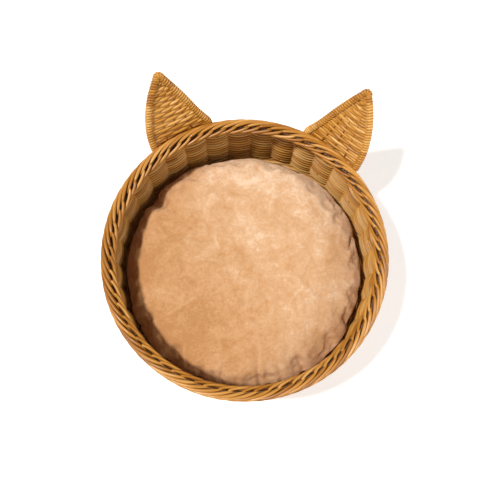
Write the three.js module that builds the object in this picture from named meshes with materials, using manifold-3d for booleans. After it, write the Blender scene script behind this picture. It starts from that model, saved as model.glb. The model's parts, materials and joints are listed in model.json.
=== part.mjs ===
// A round wicker pet bed: a woven basket with two pointed ears at the back and a loose cushion.
// Millimetres, +Z up, +Y towards the ears. The origin is the centre of the flat underside.

import * as THREE from 'three';
import { mergeVertices } from 'three/addons/utils/BufferGeometryUtils.js';
import Module from 'manifold-3d';

const wasm = await Module();
wasm.setup();

// ---- Driving dimensions ----

const GAP = 0.3;                  // kept between pieces that touch
const SEGMENTS = 70;              // facets round the basket, two for each pair of stakes
const MERGE_DISTANCE = 1e-4;      // vertices nearer than this are one vertex

const RIM_TOP = 131;
const BORDER_RADIUS = 189;        // centre of the rolled border's section
const BORDER_HALF_WIDTH = 11;
const BORDER_HALF_HEIGHT = 9;
const BORDER_SPLIT = 113;         // degrees round the section to where the outer run ends
const BORDER_SPLIT_GAP = 2;       // degrees between the outer and the inner run
const BORDER_OUTER_STEPS = 5;
const BORDER_INNER_STEPS = 2;

const WEAVER = 4;                 // diameter of the strand that weaves the wall and the ears
const WEAVE_WAVE = 4.4;           // how far a weaver swings in and out round the stakes
const WALL_FOOT = 13.3;
const WALL_TOP = RIM_TOP - 2 * BORDER_HALF_HEIGHT - GAP;
const WALL_FOOT_RADIUS = 184.5;   // middle of the wall, which flares a little
const WALL_TOP_RADIUS = BORDER_RADIUS;

const STAKE_PAIRS = 35;
const FIRST_STAKE = 88;           // degrees from +X to the first pair, close to straight back
const STAKE = 4.5;                // diameter of one rod of a pair
const STAKE_LEG_HEIGHT = 6;       // height of the leg that is pushed into the base
const STAKE_LEG_INNER = 138;
const STAKE_TOP = RIM_TOP - 7;
const STAKE_BEND = 8;

const BASE_RADIUS = 176;
const BASE_THICKNESS = 12;
const BASE_FACETS = 71;
const BASE_STICK_LENGTH = 270;
const BASE_STICK_WIDTH = 20;
const BASE_STICK_THICKNESS = 4;

const WALE_OUTER_RADIUS = 192;
const WALE_TOP = 13;
const WALE_ROUNDING = 4;

const EAR_ANGLE = 32.6;           // from straight back to the middle of an ear
const EAR_LEAN = 33;              // degrees out from upright
const EAR_FOOT_RADIUS = 201;
const EAR_FOOT_Z = 122;
const EAR_FOOT = 6;               // lowest row of weaving, measured up the ear
const EAR_APEX = 112;             // where the two edges would meet
const EAR_TOP = 107;              // highest row of weaving
const EAR_OUTER_FOOT = 49.5;      // half-widths at the foot, away from and towards the other ear
const EAR_INNER_FOOT = 43.5;
const EAR_OUTER_BULGE = 13;       // how far each edge bows out of straight
const EAR_INNER_BULGE = 2.8;
const EAR_THICKNESS = 10;
const EAR_EDGE_THICKNESS = 8;
const EAR_FRAME = 4.6;            // diameter of the bent rod round the edge
const EAR_FRAME_INSET = 4.8;
const EAR_STAKE = 4;
const EAR_STAKE_FOOT = 1;
const EAR_STAKE_HALF_SIDES = 4;
const FRAME_HALF_SIDES = 3;
const FRAME_STEPS = 54;
const FRAME_HEIGHTS = [10, 34, 58, 82];
// Where the frame turns at the ear's tip, as [across, up].
const FRAME_TIP = [[5, 95.5], [0.5, 100], [-3.8, 95.5]];
const PANEL_COLUMNS = 12;
const PANEL_ROWS = 10;
// Inner stakes: where each one starts across the foot, and where it ends across and up.
const EAR_STAKES = [
  { name: 'inner', foot: -17, head: -7, top: 62 },
  { name: 'middle', foot: 3, head: 2, top: 88 },
  { name: 'outer', foot: 23, head: 14, top: 68 },
];
// The frame's legs run down outside the wall.
const LEG_FOOT_RADIUS = 199;
const LEG_FOOT_Z = 70;
const LEG_RIM_RADIUS = 204.2;
const LEG_RIM_Z = 108;

const LASHING_Z = 88;
const LASHING_RADIUS = 199.8;
const LASHING_HALF_DEPTH = 7.2;
const LASHING_HALF_WIDTH = 5.2;
const LASHING_TUBE = 1;
const LASHING_STRETCH = 3;        // a lashing is a flat band of turns
const LASHING_SECTION_SIDES = 6;
const LASHING_STEPS = 16;

const CUSHION_RADIUS = 173;
const CUSHION_SHIFT = -4;         // the loose cushion lies a little towards the front
const CUSHION_BOTTOM = BASE_THICKNESS + 0.4;
const CUSHION_EDGE = 34;          // height of its widest level
const CUSHION_TOP = 74;
const CUSHION_FLAT = 0.88;        // share of the underside that lies flat
const CUSHION_SHOULDER = 0.75;    // under 1 makes the dome's shoulder fuller than an ellipse
const COVER_THICKNESS = 2.5;
const CUSHION_SEGMENTS = 36;
const CUSHION_STEPS = 5;

// ---- Materials ----

const WICKER = new THREE.MeshStandardMaterial({ color: 0xc07a28, roughness: 0.5, metalness: 0 });
const STAKE_CANE = new THREE.MeshStandardMaterial({ color: 0xb06c22, roughness: 0.5, metalness: 0 });
const BORDER_CANE = new THREE.MeshStandardMaterial({ color: 0xcb8832, roughness: 0.45, metalness: 0 });
const PLUSH = new THREE.MeshStandardMaterial({ color: 0xd9a878, roughness: 0.95, metalness: 0 });
const LINING = new THREE.MeshStandardMaterial({ color: 0xc9a27c, roughness: 0.95, metalness: 0 });
const FIBRE = new THREE.MeshStandardMaterial({ color: 0xf2efe8, roughness: 1, metalness: 0 });

// ---- Shared helpers ----

const radians = THREE.MathUtils.degToRad;

function solidOf(geometry) {
  const bare = geometry.clone();
  bare.deleteAttribute('normal');
  bare.deleteAttribute('uv');
  const merged = mergeVertices(bare, MERGE_DISTANCE);
  return new wasm.Manifold(new wasm.Mesh({
    numProp: 3,
    vertProperties: new Float32Array(merged.attributes.position.array),
    triVerts: new Uint32Array(merged.index.array),
  }));
}

function geometryOf(solid) {
  const { vertProperties, triVerts } = solid.getMesh();
  const geometry = new THREE.BufferGeometry();
  geometry.setAttribute('position', new THREE.BufferAttribute(vertProperties, 3));
  geometry.setIndex(new THREE.BufferAttribute(triVerts, 1));
  geometry.computeVertexNormals();
  return geometry;
}

function cut(geometry, tools) {
  return geometryOf(tools.reduce((solid, tool) => solid.subtract(solidOf(tool)), solidOf(geometry)));
}

// A ring or a round solid about +Z, from [radius, height] points.
function turned(points, segments) {
  const profile = points.map(([radius, height]) => new THREE.Vector2(radius, height));
  return new THREE.LatheGeometry(profile, segments).rotateX(Math.PI / 2);
}

// A rod along a curve, with a regular section of twice halfSides sides.
function rod(curve, radius, steps, halfSides) {
  const section = new THREE.Shape();
  section.absarc(0, 0, radius, 0, 2 * Math.PI);
  return new THREE.ExtrudeGeometry(section, {
    extrudePath: curve, steps, curveSegments: halfSides, bevelEnabled: false,
  });
}

function addMesh(parent, name, geometry, material) {
  const mesh = new THREE.Mesh(geometry, material);
  mesh.name = name;
  parent.add(mesh);
  return mesh;
}

// ---- Stakes ----

const wallRadius = (height) => THREE.MathUtils.mapLinear(
  height, WALL_FOOT, WALL_TOP, WALL_FOOT_RADIUS, WALL_TOP_RADIUS);

// The outline of a stake in the upright plane through the basket's axis: a leg, a bend and an upright.
function stakeOutline(margin) {
  const half = STAKE / 2 + margin;
  const footRadius = wallRadius(STAKE_LEG_HEIGHT);
  const topRadius = wallRadius(STAKE_TOP);
  const bendX = footRadius - STAKE_BEND;
  const bendY = STAKE_LEG_HEIGHT + STAKE_BEND;
  const outline = new THREE.Shape();
  outline.moveTo(STAKE_LEG_INNER - margin, STAKE_LEG_HEIGHT - half);
  outline.lineTo(bendX, STAKE_LEG_HEIGHT - half);
  outline.absarc(bendX, bendY, STAKE_BEND + half, -Math.PI / 2, 0, false);
  outline.lineTo(topRadius + half, STAKE_TOP + margin);
  outline.lineTo(topRadius - half, STAKE_TOP + margin);
  outline.lineTo(bendX + STAKE_BEND - half, bendY);
  outline.absarc(bendX, bendY, STAKE_BEND - half, 0, -Math.PI / 2, true);
  outline.lineTo(STAKE_LEG_INNER - margin, STAKE_LEG_HEIGHT + half);
  return outline;
}

// Two rods side by side, as one flat pair, in the plane of +X.
function stakePair(margin) {
  const width = 2 * STAKE + 2 * margin;
  return new THREE.ExtrudeGeometry(stakeOutline(margin), {
    depth: width, curveSegments: 1, bevelEnabled: false,
  }).translate(0, 0, -width / 2).rotateX(Math.PI / 2);
}

const stakeAngle = (index) => radians(FIRST_STAKE + index * 360 / STAKE_PAIRS);

function stakeSlots() {
  return Array.from({ length: STAKE_PAIRS }, (_, index) => stakePair(GAP).rotateZ(stakeAngle(index)));
}

// ---- Base and wall ----

function baseStick(margin, bottom) {
  return new THREE.BoxGeometry(
    BASE_STICK_LENGTH + 2 * margin, BASE_STICK_WIDTH + 2 * margin, BASE_STICK_THICKNESS + 2 * margin,
  ).translate(0, 0, bottom + BASE_STICK_THICKNESS / 2);
}

function baseSticks(margin) {
  return [
    baseStick(margin, 0),
    baseStick(margin, BASE_STICK_THICKNESS + GAP).rotateZ(Math.PI / 2),
  ];
}

function baseWeave(slots) {
  const disc = turned([
    [0, 0], [BASE_RADIUS, 0], [BASE_RADIUS, BASE_THICKNESS], [0, BASE_THICKNESS],
  ], BASE_FACETS);
  return cut(disc, [...slots, ...baseSticks(GAP)]);
}

function upsettWale(slots) {
  const inner = BASE_RADIUS + GAP;
  const ring = turned([
    [inner, 0], [WALE_OUTER_RADIUS - WALE_ROUNDING, 0], [WALE_OUTER_RADIUS, WALE_ROUNDING],
    [WALE_OUTER_RADIUS, WALE_TOP - WALE_ROUNDING / 2], [WALE_OUTER_RADIUS - WALE_ROUNDING / 2, WALE_TOP],
    [inner, WALE_TOP], [inner, 0],
  ], SEGMENTS);
  return cut(ring, slots);
}

function wallWeave(slots, lashings) {
  const half = WEAVE_WAVE + WEAVER / 2;
  const wall = turned([
    [WALL_FOOT_RADIUS - half, WALL_FOOT], [WALL_FOOT_RADIUS + half, WALL_FOOT],
    [WALL_TOP_RADIUS + half, WALL_TOP], [WALL_TOP_RADIUS - half, WALL_TOP],
    [WALL_FOOT_RADIUS - half, WALL_FOOT],
  ], SEGMENTS);
  return cut(wall, [...slots, ...lashings]);
}

// One run of the border: a slice of its oval section, between two angles in degrees.
function borderRun(from, to, steps) {
  const points = [];
  for (let step = 0; step <= steps; step += 1) {
    const angle = radians(THREE.MathUtils.lerp(from, to, step / steps));
    points.push([
      BORDER_RADIUS + BORDER_HALF_WIDTH * Math.cos(angle),
      RIM_TOP - BORDER_HALF_HEIGHT + BORDER_HALF_HEIGHT * Math.sin(angle),
    ]);
  }
  points.push(points[0]);
  return turned(points, SEGMENTS);
}

// ---- Ears ----

// The two ears mirror each other, and differ a little in length.
const EARS = [
  { name: 'left', side: -1, length: 0.97 },
  { name: 'right', side: 1, length: 1.025 },
];

// A point on an ear: across it (away from the other ear is positive), up it, and out through its back.
function earPoint({ side, length }, across, up, out) {
  const lean = radians(EAR_LEAN);
  const reach = up * length;
  const radius = EAR_FOOT_RADIUS + reach * Math.sin(lean) + out * Math.cos(lean);
  const height = EAR_FOOT_Z + reach * Math.cos(lean) - out * Math.sin(lean);
  const angle = radians(EAR_ANGLE) + across / radius;
  return new THREE.Vector3(side * radius * Math.sin(angle), radius * Math.cos(angle), height);
}

// How far across the edges are at a given height up the ear.
function earEdge(up, foot, bulge) {
  const share = up / EAR_APEX;
  return foot * (1 - share) + 4 * bulge * share * (1 - share);
}

const outerEdge = (up) => earEdge(up, EAR_OUTER_FOOT, EAR_OUTER_BULGE);
const innerEdge = (up) => -earEdge(up, EAR_INNER_FOOT, EAR_INNER_BULGE);

function legPoints(side, across) {
  const angle = radians(EAR_ANGLE) + across / EAR_FOOT_RADIUS;
  const at = (radius, height) => new THREE.Vector3(
    side * radius * Math.sin(angle), radius * Math.cos(angle), height);
  return [at(LEG_FOOT_RADIUS, LEG_FOOT_Z), at(LEG_RIM_RADIUS, LEG_RIM_Z), at(LEG_RIM_RADIUS, EAR_FOOT_Z)];
}

// The bent rod round an ear: up one edge, round the tip, and down the other, with a leg at each end.
function earFrameCurve(ear) {
  const outer = (up) => outerEdge(up) - EAR_FRAME_INSET;
  const inner = (up) => innerEdge(up) + EAR_FRAME_INSET;
  return new THREE.CatmullRomCurve3([
    ...legPoints(ear.side, outer(0)),
    ...FRAME_HEIGHTS.map((up) => earPoint(ear, outer(up), up, 0)),
    ...FRAME_TIP.map(([across, up]) => earPoint(ear, across, up, 0)),
    ...FRAME_HEIGHTS.toReversed().map((up) => earPoint(ear, inner(up), up, 0)),
    ...legPoints(ear.side, inner(0)).reverse(),
  ], false, 'centripetal');
}

function earFrame(ear, margin) {
  return rod(earFrameCurve(ear), EAR_FRAME / 2 + margin, FRAME_STEPS, FRAME_HALF_SIDES);
}

function earStake(ear, stake, margin) {
  const curve = new THREE.LineCurve3(
    earPoint(ear, stake.foot, EAR_STAKE_FOOT - margin, 0),
    earPoint(ear, stake.head, stake.top + margin, 0),
  );
  return rod(curve, EAR_STAKE / 2 + margin, 1, EAR_STAKE_HALF_SIDES);
}

// The woven panel: a box bent into the leaning, curved shape between the two edges.
function earPanel(ear) {
  const panel = new THREE.BoxGeometry(2, 1, 2, PANEL_COLUMNS, PANEL_ROWS, 1);
  const position = panel.attributes.position;
  for (let index = 0; index < position.count; index += 1) {
    const share = position.getX(index);
    const up = THREE.MathUtils.lerp(EAR_FOOT, EAR_TOP, position.getY(index) + 0.5);
    const middle = (outerEdge(up) + innerEdge(up)) / 2;
    const half = (outerEdge(up) - innerEdge(up)) / 2;
    const isEdge = Math.abs(share) === 1;
    const thickness = isEdge ? EAR_EDGE_THICKNESS : EAR_THICKNESS;
    const point = earPoint(ear, middle + share * half, up, -position.getZ(index) * thickness / 2);
    position.setXYZ(index, point.x, point.y, point.z);
  }
  if (ear.side < 0) {
    panel.index.array.reverse();
  }
  return panel;
}

function lashing(side, across, margin) {
  const angle = radians(EAR_ANGLE) + across / EAR_FOOT_RADIUS;
  const tube = LASHING_TUBE + margin / 2;
  return new THREE.TorusGeometry(LASHING_HALF_WIDTH, tube, LASHING_SECTION_SIDES, LASHING_STEPS)
    .scale(1, LASHING_HALF_DEPTH / LASHING_HALF_WIDTH, LASHING_STRETCH)
    .rotateZ(-side * angle)
    .translate(side * LASHING_RADIUS * Math.sin(angle), LASHING_RADIUS * Math.cos(angle), LASHING_Z);
}

const LEGS = [
  { name: 'outer', across: outerEdge(0) - EAR_FRAME_INSET },
  { name: 'inner', across: innerEdge(0) + EAR_FRAME_INSET },
];

function earGroup(ear) {
  const group = new THREE.Group();
  const prefix = `ear_${ear.name}`;
  const tunnels = [earFrame(ear, GAP), ...EAR_STAKES.map((stake) => earStake(ear, stake, GAP))];
  addMesh(group, `${prefix}_weave`, cut(earPanel(ear), tunnels), WICKER);
  addMesh(group, `${prefix}_frame`, earFrame(ear, 0), STAKE_CANE);
  for (const stake of EAR_STAKES) {
    addMesh(group, `${prefix}_stake_${stake.name}`, earStake(ear, stake, 0), STAKE_CANE);
  }
  for (const leg of LEGS) {
    addMesh(group, `${prefix}_lashing_${leg.name}`, lashing(ear.side, leg.across, 0), WICKER);
  }
  return group;
}

// ---- Cushion ----

// Half of the cushion's outline, from its widest level to its middle, drawn in by a margin.
// The top is domed all over, and the underside is flat apart from its rounded edge.
function cushionOutline(top, margin) {
  const radius = CUSHION_RADIUS - margin;
  const middle = top ? CUSHION_TOP - margin : CUSHION_BOTTOM + margin;
  const flat = top ? 0 : radius * CUSHION_FLAT;
  const shoulder = top ? CUSHION_SHOULDER : 1;
  const points = [];
  for (let step = 0; step <= CUSHION_STEPS; step += 1) {
    const angle = step / CUSHION_STEPS * Math.PI / 2;
    points.push([
      flat + (radius - flat) * Math.abs(Math.cos(angle)) ** shoulder,
      THREE.MathUtils.lerp(CUSHION_EDGE, middle, Math.sin(angle)),
    ]);
  }
  if (top) {
    points[CUSHION_STEPS][0] = 0;
  } else {
    points.push([0, middle]);
  }
  return points;
}

function coverHalf(top) {
  const lift = top ? GAP / 2 : -GAP / 2;
  const outside = cushionOutline(top, 0);
  const inside = cushionOutline(top, COVER_THICKNESS).reverse();
  const profile = [...inside, ...outside].map(([radius, height]) => [radius, height + lift]);
  const shell = turned(profile, CUSHION_SEGMENTS);
  if (!top) {
    shell.index.array.reverse();
  }
  return shell;
}

function filling() {
  const upper = cushionOutline(true, COVER_THICKNESS + 2 * GAP);
  const lower = cushionOutline(false, COVER_THICKNESS + 2 * GAP).reverse();
  return turned([...lower, ...upper.slice(1)], CUSHION_SEGMENTS);
}

// ---- Assembly ----

const group = new THREE.Group();

const slots = stakeSlots();
const lashings = EARS.flatMap(({ side }) => LEGS.map((leg) => lashing(side, leg.across, GAP)));

addMesh(group, 'base_weave', baseWeave(slots), WICKER);
const [sticksAcross, sticksAlong] = baseSticks(0);
addMesh(group, 'base_sticks_across', sticksAcross, STAKE_CANE);
addMesh(group, 'base_sticks_along', sticksAlong, STAKE_CANE);
addMesh(group, 'upsett_wale', upsettWale(slots), WICKER);
addMesh(group, 'wall_weave', wallWeave(slots, lashings), WICKER);
for (let index = 0; index < STAKE_PAIRS; index += 1) {
  const name = `stake_pair_${String(index + 1).padStart(2, '0')}`;
  addMesh(group, name, stakePair(0), STAKE_CANE).rotation.z = stakeAngle(index);
}
const outerRun = borderRun(-BORDER_SPLIT, BORDER_SPLIT, BORDER_OUTER_STEPS);
addMesh(group, 'border_outer_run', cut(outerRun, slots), BORDER_CANE);
const innerStart = BORDER_SPLIT + BORDER_SPLIT_GAP;
const innerRun = borderRun(innerStart, 360 - innerStart, BORDER_INNER_STEPS);
addMesh(group, 'border_inner_run', innerRun, BORDER_CANE);

for (const ear of EARS) {
  group.add(earGroup(ear));
}

const cushion = new THREE.Group();
cushion.position.y = CUSHION_SHIFT;
addMesh(cushion, 'cushion_cover_top', coverHalf(true), PLUSH);
addMesh(cushion, 'cushion_cover_bottom', coverHalf(false), LINING);
addMesh(cushion, 'cushion_filling', filling(), FIBRE);
group.add(cushion);

export default group;
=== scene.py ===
"""Looks of the round wicker pet bed: woven cane and a plush cushion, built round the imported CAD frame.

Metres, +Z up, +Y towards the ears. Every strand is a real tube, swept along the path it takes in the weave.
"""

import json
import math

import bpy
import numpy as np
from mathutils import Matrix, Vector, noise

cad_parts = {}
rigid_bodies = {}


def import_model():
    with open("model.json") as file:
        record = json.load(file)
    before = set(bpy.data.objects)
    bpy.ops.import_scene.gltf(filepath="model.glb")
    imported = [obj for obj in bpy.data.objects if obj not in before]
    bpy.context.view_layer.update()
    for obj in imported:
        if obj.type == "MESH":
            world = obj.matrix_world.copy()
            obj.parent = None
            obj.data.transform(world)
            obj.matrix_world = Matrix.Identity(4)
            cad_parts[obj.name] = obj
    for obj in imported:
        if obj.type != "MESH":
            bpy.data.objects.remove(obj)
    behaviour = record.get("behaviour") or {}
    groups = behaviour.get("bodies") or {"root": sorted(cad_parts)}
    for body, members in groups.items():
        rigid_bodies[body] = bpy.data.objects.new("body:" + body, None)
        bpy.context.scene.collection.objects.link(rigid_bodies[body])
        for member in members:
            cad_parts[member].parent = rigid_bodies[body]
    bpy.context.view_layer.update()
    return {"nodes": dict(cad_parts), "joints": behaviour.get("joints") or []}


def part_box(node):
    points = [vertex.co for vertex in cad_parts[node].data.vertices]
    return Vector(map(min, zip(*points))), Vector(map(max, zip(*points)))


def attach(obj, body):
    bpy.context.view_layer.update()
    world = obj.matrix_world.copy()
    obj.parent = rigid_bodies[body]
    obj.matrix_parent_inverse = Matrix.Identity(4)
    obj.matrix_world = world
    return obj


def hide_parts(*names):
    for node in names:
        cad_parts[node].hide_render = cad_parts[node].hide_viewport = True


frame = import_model()
RANDOM = np.random.default_rng(7)

# ---- Driving sizes ----

MM = 0.001
TAU = 2 * math.pi

# Wall
WEAVER = 4.4 * MM            # thickness of the strands that weave the wall
WEAVER_OVAL = 1.3            # their height as a share of it
ROW_PITCH = 4.5 * MM         # rise of the wall's weaver in one turn
WEAVE_WAVE = 4.2 * MM        # how far it swings in and out round the stakes
SPLICE_BAYS = 23             # bays from one splice of the weaver to the next
STAKE = 4.5 * MM             # diameter of one rod of a stake pair
STAKE_BEND = 8 * MM          # size of the bend where a stake turns up
WALE_STRAND = 4.8 * MM
WALE_SWING = 3.2 * MM
WALE_TWIST = 1.5 * MM        # how far a wale strand rises and falls as it passes the others

# Border. Angles are degrees round its oval section, from straight out, over the top.
BORDER_STRAND = 4.6 * MM
INNER_STRAND = 4.1 * MM
SLOT_LINE = 108              # where the two runs meet in a line of slots
OUTER_SECTIONS = (SLOT_LINE + 9, -108)    # where an outer strand starts and ends
INNER_SECTIONS = (226, SLOT_LINE - 8)
CORE_SECTIONS = (215, 250, 290, 325)      # the strands hidden inside the roll
OUTER_SPAN = 3.1             # bays that a strand runs on from its start to its end
INNER_SPAN = 1.45
CORE_SPAN = 1.2
OUTER_CROSSINGS = (0.28, 0.77)            # where strands cross the line of slots, as shares of a bay
INNER_CROSSINGS = (0.41, 0.83)            # clockwise from the stake pair
PLUNGE = 6 * MM              # how deep the strands go where they dive
CORE_DEPTH = 8.2 * MM

# Ears
EAR_STRAND = 5.0 * MM        # rows of the ear
EAR_ROW_PITCH = 4.2 * MM
EAR_SWING = 1.1 * MM         # how far the ear's rows swing in and out round its stakes
EAR_STAKE = 3.4 * MM
EAR_WRAP = 3.8 * MM          # the strand wound round the ear's frame
EAR_WRAP_PITCH = 4.1 * MM
EAR_ROD = 4.0 * MM           # the bent rod of the ear's frame
EAR_CORE = 3.2 * MM          # the winding bites into the rod, as if the rod were only this thick
WRAP_RADIUS = (EAR_CORE + EAR_WRAP) / 2
EAR_INSET = WRAP_RADIUS + EAR_WRAP / 2 - 0.8 * MM    # from the ear's edge to the middle of its frame
EDGE_TOP = 7 * MM            # the straight edges end this far below the ear's top
TIP_ROUND = 4.0 * MM         # rise of the rounded tip above the straight edges
OUTLINE_FOOT = 11 * MM       # how far the frame's wrapping runs down behind the border
EAR_STAKES = ("inner", "middle", "outer")
ROWS_BELOW_FOOT = 3          # rows of the ear that run down behind the border
ROWS_END = 5 * MM            # the last row starts about this far below the ear's top
ROWS_LIMIT = 6 * MM          # and no row comes nearer to the top than this
ROW_DIP = 0.10               # how far a row sags between its ends, as a share of its length
ROW_DIP_MOST = 6 * MM
FOOT_LEAN = math.radians(14)
FOOT_FLARE = 4.0 * MM        # how far the inner edge of an ear spreads at its foot
FLARE_RISE = 24 * MM         # the height over which it does so
LASHING = 2.6 * MM
LASHING_TURNS = 3
LASHING_RISE = 6 * MM        # from the first turn of a lashing to its last

# Base
BASE_STRAND = 4.0 * MM
BASE_WAVE = 2.9 * MM         # how far the base's strand swings up and down round the spokes
BASE_START = 24 * MM         # radius at which it starts
BASE_OVERRUN = 2.5 * MM      # how far it runs on under the wale
SPOKES = 20
SPOKE = 3.8 * MM
SPOKE_PITCH = 4.1 * MM       # between the rods of one bundle
BUNDLE_HALF = 22 * MM        # half the length over which the rods of a bundle lie side by side
BUNDLE_LIFT = 1.8 * MM       # how far one bundle rises, and the other sinks, where they cross
LIFT_REACH = 24 * MM         # half the length over which it does so
FAN_HALF = 60 * MM           # where the rods have spread to FAN_SPREAD times their pitch
FAN_SPREAD = 3.2
BASE_SPLICE = 53             # crossings from one splice of the base's strand to the next
SPOKE_TUCK = 36 * MM         # the spokes end this far inside the base's edge

# Cushion
CUSHION_NODES = ("cushion_cover_top", "cushion_cover_bottom", "cushion_filling")
CUSHION_SLACK = 2.5 * MM     # how much the cushion has slid to the front, away from the back wall
CUSHION_SHRINK = 2 * MM      # how much smaller than its CAD solid it is before it is blown up
CUSHION_EDGE = 0.42          # powers below one make its section squarer at the edge
CUSHION_CROWN = 0.72         # and flatter on top
CUSHION_VOXEL = 4 * MM
CLOTH_FRAMES = 20
CLOTH_REACH = 6 * MM         # the furthest that the simulation may move a point
CREASES = 34                 # short creases in the top of the cover
CREASE_DEPTH = 1.1 * MM
# Grooves that run in from the edge: bearing, depth in mm, half width in degrees, reach inwards as a share.
EDGE_FOLDS = (
    (149, 13.0, 3.4, 0.16), (-6.5, 5.0, 1.8, 0.09), (-22, 5.0, 2.4, 0.16), (-54, 4.5, 1.8, 0.20),
    (-77, 3.6, 1.3, 0.34), (-96, 3.2, 1.1, 0.30), (-88, 1.4, 1.2, 0.20), (-106, 2.2, 1.6, 0.18),
    (-66, 2.0, 1.4, 0.22), (-120, 1.6, 2.0, 0.16), (-140, 1.6, 2.4, 0.14), (175, 1.8, 2.4, 0.12),
    (118, 2.0, 2.0, 0.14), (84, 1.4, 2.0, 0.12), (52, 1.8, 2.0, 0.14), (24, 1.6, 2.0, 0.12),
    (-38, 2.0, 2.0, 0.14),
)
# Broad hollows and fine unevenness of the cover: size as a share of its radius, depth in mm, seed.
COVER_WAVES = ((5.0, 2.4, 1.0), (13.0, 1.7, 5.0), (34.0, 0.55, 9.0))

# Camera: it looks down on the bed from the front.
CAMERA_TILT = 12.0           # degrees off the basket's axis
CAMERA_TURN = -0.1
CAMERA_ROLL = 5.7
CAMERA_DISTANCE = 1.050
CAMERA_AIM = Vector((0.0059, 0.0080, 0.0))
CAMERA_LENS = 54.6

# Lights and floor
KEY_FROM = (-0.86, -0.10, 2.0)
KEY_STRENGTH = 3.4
KEY_SOFTNESS = math.radians(6)
FILL_FROM = (1.6, -0.2, 1.3)
FILL_POWER = 18.0
FILL_SIZE = 1.0
LAMP_WHITE = (1.0, 0.97, 0.94)
WORLD_COLOR = (1.0, 0.95, 0.89, 1.0)
WORLD_STRENGTH = 0.17
FLOOR_HALF = 20.0
FLOOR_Z = -0.3 * MM

NODES = frame["nodes"]
JOINT = frame["joints"][0]
BASKET = JOINT["parent"]
LOOSE = JOINT["child"]


# ---- Reading the frame ----

def node_points(name):
    """The node's vertices as an array."""
    mesh = NODES[name].data
    points = np.zeros(len(mesh.vertices) * 3, np.float32)
    mesh.vertices.foreach_get("co", points)
    return points.reshape(-1, 3).astype(float)


def radii(name):
    """The node's smallest and largest distance from the basket's axis."""
    points = node_points(name)
    reach = np.hypot(points[:, 0], points[:, 1])
    return reach.min(), reach.max()


STAKE_NODES = sorted(name for name in NODES if name.startswith("stake_pair_"))
STAKES = len(STAKE_NODES)
BAY = TAU / STAKES
first_stake_middle = node_points(STAKE_NODES[0]).mean(axis=0)
FIRST_STAKE = math.atan2(first_stake_middle[1], first_stake_middle[0])

WALL_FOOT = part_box("wall_weave")[0].z
WALL_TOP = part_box("wall_weave")[1].z
WALE_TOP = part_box("upsett_wale")[1].z
RIM_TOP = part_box("border_outer_run")[1].z
RIM_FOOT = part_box("border_outer_run")[0].z
BASE_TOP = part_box("base_weave")[1].z
RIM_OUTER = radii("border_outer_run")[1]
RIM_INNER = radii("border_inner_run")[0]
WALE_INNER, WALE_OUTER = radii("upsett_wale")
BASE_RADIUS = radii("base_weave")[1]

wall_points = node_points("wall_weave")
wall_reach = np.hypot(wall_points[:, 0], wall_points[:, 1])
foot_reach = wall_reach[wall_points[:, 2] < WALL_FOOT + MM]
top_reach = wall_reach[wall_points[:, 2] > WALL_TOP - MM]
WALL_FOOT_RADIUS = (foot_reach.min() + foot_reach.max()) / 2
WALL_TOP_RADIUS = (top_reach.min() + top_reach.max()) / 2

BORDER_RADIUS = (RIM_OUTER + RIM_INNER) / 2
BORDER_HALF_WIDTH = (RIM_OUTER - RIM_INNER) / 2
BORDER_Z = (RIM_TOP + RIM_FOOT) / 2
BORDER_HALF_HEIGHT = (RIM_TOP - RIM_FOOT) / 2


def wall_radius(height):
    """Radius of the middle of the wall at a height."""
    share = (height - WALL_FOOT) / (WALL_TOP - WALL_FOOT)
    return WALL_FOOT_RADIUS + share * (WALL_TOP_RADIUS - WALL_FOOT_RADIUS)


def around(radius, angle, height):
    """Points at a radius, an angle from +X and a height, each a number or an array."""
    radius, angle, height = np.broadcast_arrays(radius, angle, height)
    return np.stack([radius * np.cos(angle), radius * np.sin(angle), height], axis=-1)


# ---- Strands ----

def unit(vectors):
    """Vectors scaled to length one."""
    return vectors / np.maximum(np.linalg.norm(vectors, axis=-1, keepdims=True), 1e-12)


def carried_normals(tangents):
    """Normals carried along a curve without twist."""
    first = np.cross(tangents[0], (0.0, 0.0, 1.0))
    if np.linalg.norm(first) < 0.1:
        first = np.cross(tangents[0], (1.0, 0.0, 0.0))
    normals = [unit(first)]
    for tangent in tangents[1:]:
        carried = normals[-1] - tangent * np.dot(normals[-1], tangent)
        normals.append(carried / max(np.linalg.norm(carried), 1e-9))
    return np.array(normals)


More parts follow.
